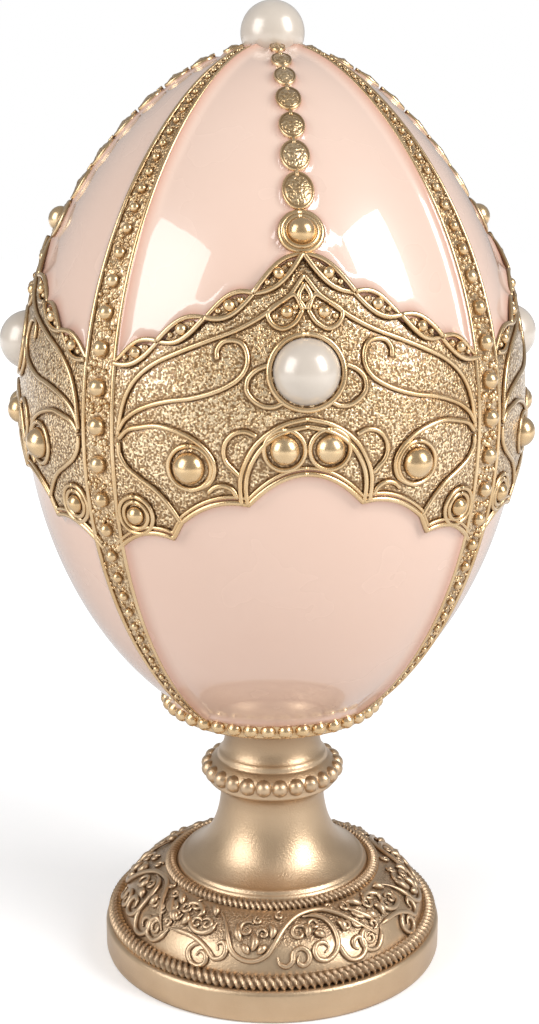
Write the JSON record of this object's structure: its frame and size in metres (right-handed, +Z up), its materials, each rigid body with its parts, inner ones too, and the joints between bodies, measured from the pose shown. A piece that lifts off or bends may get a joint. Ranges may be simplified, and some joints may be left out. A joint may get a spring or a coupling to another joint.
{
  "type": "decorative egg",
  "caption": "Cast ornamental egg with raised gilded ribs, scalloped bands and set pearls, standing on a turned round foot as a table or shelf decoration.",
  "frame": {"origin": "middle of the foot's flat underside", "axes": "+Z up along the egg's axis, the front panel's pearl towards -Y"},
  "size_m": [0.091, 0.091, 0.1655],
  "materials": {
    "lacquer": "glossy pale pink lacquer on cast resin",
    "gold": "satin champagne gold paint on cast resin",
    "pearl": "cream imitation pearl coating"
  },
  "bodies": {
    "root": {"foot": "gold", "egg": "lacquer", "pearl_front": "pearl", "pearl_right": "pearl", "pearl_back": "pearl", "pearl_left": "pearl", "pearl_top": "pearl"}
  },
  "joints": []
}
